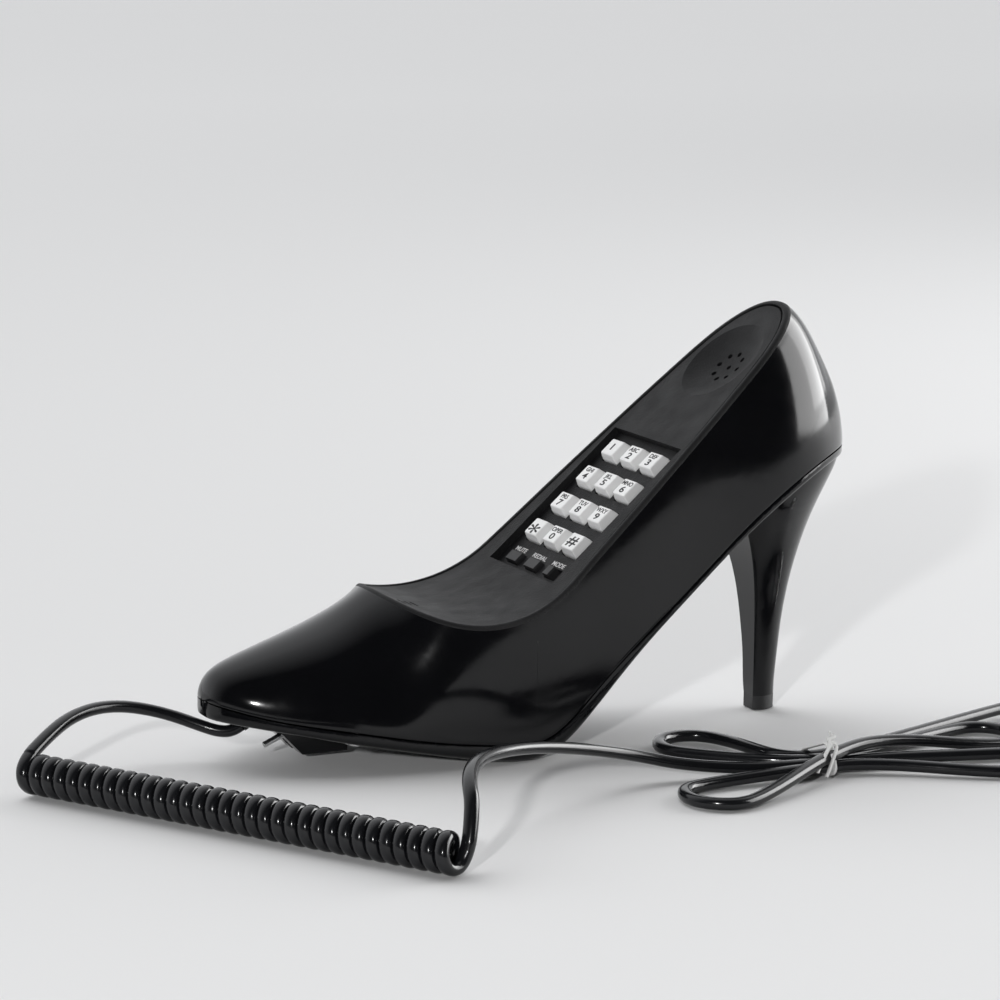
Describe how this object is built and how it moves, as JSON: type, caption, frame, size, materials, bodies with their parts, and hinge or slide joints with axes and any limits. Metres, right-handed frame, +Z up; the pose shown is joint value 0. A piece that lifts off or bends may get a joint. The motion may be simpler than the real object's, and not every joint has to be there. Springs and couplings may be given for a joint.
{
  "type": "shoe telephone",
  "caption": "Corded novelty telephone shaped as a glossy high-heeled pump, with keypad and earpiece in the insole, a sprung hook lever under the toe, a curly cord and a tied line cord.",
  "frame": {"origin": "on the table below the middle of the shoe's length and width", "axes": "+X from the toe to the heel, +Y to the side away from the keypad's hash column, +Z up from the table"},
  "size_m": [0.3817, 0.1924, 0.1482],
  "materials": {
    "gloss_black": "high-gloss moulded black",
    "matte_black": "fine-textured moulded black",
    "key_white": "satin white",
    "black_rubber": "matt rubber",
    "grey_rubber": "silicone rubber",
    "foam_black": "foam ring",
    "steel": "zinc-plated",
    "chrome_rod": "bright plated",
    "board_green": "coated laminate",
    "switch_black": "moulded component body",
    "grey_plastic": "moulded capsule",
    "aluminium_can": "drawn can",
    "cord_black": "glossy flexible jacket",
    "tie_white": "paper-covered wire",
    "clear_plastic": "clear moulded",
    "gold_contact": "gold-flashed"
  },
  "bodies": {
    "shoe": {"upper_shell": "gloss_black", "sole_shell": "gloss_black", "face_plate": "matte_black", "heel_tip": "black_rubber", "case_screws": "steel", "keypad_mat": "grey_rubber", "keypad_board": "board_green", "keypad_screws": "steel", "button_switches": "switch_black", "receiver_gasket": "foam_black", "receiver_capsule": "grey_plastic", "microphone_boot": "black_rubber", "microphone_insert": "aluminium_can", "main_board": "board_green", "board_screws": "steel", "ringer": "switch_black", "board_components": "switch_black", "hook_pivot_pin": "steel", "hook_switch": "switch_black", "cord_gland": "black_rubber", "cord_tail": "cord_black", "curly_cord": "cord_black", "cord_lead": "cord_black", "line_hank": "cord_black", "hank_tie": "tie_white", "modular_plug": "clear_plastic", "plug_contacts": "gold_contact"},
    "key_1_body": {"key_1": "key_white"},
    "key_2_body": {"key_2": "key_white"},
    "key_3_body": {"key_3": "key_white"},
    "key_4_body": {"key_4": "key_white"},
    "key_5_body": {"key_5": "key_white"},
    "key_6_body": {"key_6": "key_white"},
    "key_7_body": {"key_7": "key_white"},
    "key_8_body": {"key_8": "key_white"},
    "key_9_body": {"key_9": "key_white"},
    "key_star_body": {"key_star": "key_white"},
    "key_0_body": {"key_0": "key_white"},
    "key_hash_body": {"key_hash": "key_white"},
    "mute_button_body": {"mute_button": "matte_black"},
    "redial_button_body": {"redial_button": "matte_black"},
    "mode_slider_body": {"mode_slider": "matte_black"},
    "hook_lever_body": {"hook_lever": "chrome_rod"}
  },
  "joints": [
    {"name": "key_1_press", "type": "slide", "parent": "shoe", "child": "key_1_body", "axis": [0.6665, 0, -0.7455], "range_m": [0, 0.0012], "stiffness_N_per_m": 400},
    {"name": "key_2_press", "type": "slide", "parent": "shoe", "child": "key_2_body", "axis": [0.6665, 0, -0.7455], "range_m": [0, 0.0012], "stiffness_N_per_m": 400},
    {"name": "key_3_press", "type": "slide", "parent": "shoe", "child": "key_3_body", "axis": [0.6665, 0, -0.7455], "range_m": [0, 0.0012], "stiffness_N_per_m": 400},
    {"name": "key_4_press", "type": "slide", "parent": "shoe", "child": "key_4_body", "axis": [0.6665, 0, -0.7455], "range_m": [0, 0.0012], "stiffness_N_per_m": 400},
    {"name": "key_5_press", "type": "slide", "parent": "shoe", "child": "key_5_body", "axis": [0.6665, 0, -0.7455], "range_m": [0, 0.0012], "stiffness_N_per_m": 400},
    {"name": "key_6_press", "type": "slide", "parent": "shoe", "child": "key_6_body", "axis": [0.6665, 0, -0.7455], "range_m": [0, 0.0012], "stiffness_N_per_m": 400},
    {"name": "key_7_press", "type": "slide", "parent": "shoe", "child": "key_7_body", "axis": [0.6665, 0, -0.7455], "range_m": [0, 0.0012], "stiffness_N_per_m": 400},
    {"name": "key_8_press", "type": "slide", "parent": "shoe", "child": "key_8_body", "axis": [0.6665, 0, -0.7455], "range_m": [0, 0.0012], "stiffness_N_per_m": 400},
    {"name": "key_9_press", "type": "slide", "parent": "shoe", "child": "key_9_body", "axis": [0.6665, 0, -0.7455], "range_m": [0, 0.0012], "stiffness_N_per_m": 400},
    {"name": "key_star_press", "type": "slide", "parent": "shoe", "child": "key_star_body", "axis": [0.6665, 0, -0.7455], "range_m": [0, 0.0012], "stiffness_N_per_m": 400},
    {"name": "key_0_press", "type": "slide", "parent": "shoe", "child": "key_0_body", "axis": [0.6665, 0, -0.7455], "range_m": [0, 0.0012], "stiffness_N_per_m": 400},
    {"name": "key_hash_press", "type": "slide", "parent": "shoe", "child": "key_hash_body", "axis": [0.6665, 0, -0.7455], "range_m": [0, 0.0012], "stiffness_N_per_m": 400},
    {"name": "mute_button_press", "type": "slide", "parent": "shoe", "child": "mute_button_body", "axis": [0.6665, 0, -0.7455], "range_m": [0, 0.001], "stiffness_N_per_m": 500},
    {"name": "redial_button_press", "type": "slide", "parent": "shoe", "child": "redial_button_body", "axis": [0.6665, 0, -0.7455], "range_m": [0, 0.001], "stiffness_N_per_m": 500},
    {"name": "mode_slide", "type": "slide", "parent": "shoe", "child": "mode_slider_body", "axis": [0, -1, 0], "range_m": [0, 0.003]},
    {"name": "hook_lift", "type": "hinge", "parent": "shoe", "child": "hook_lever_body", "pos_m": [-0.08875, 0, 0.0099], "axis": [0, 1, 0], "range_deg": [0, 20], "stiffness_Nm_per_rad": 0.02}
  ]
}
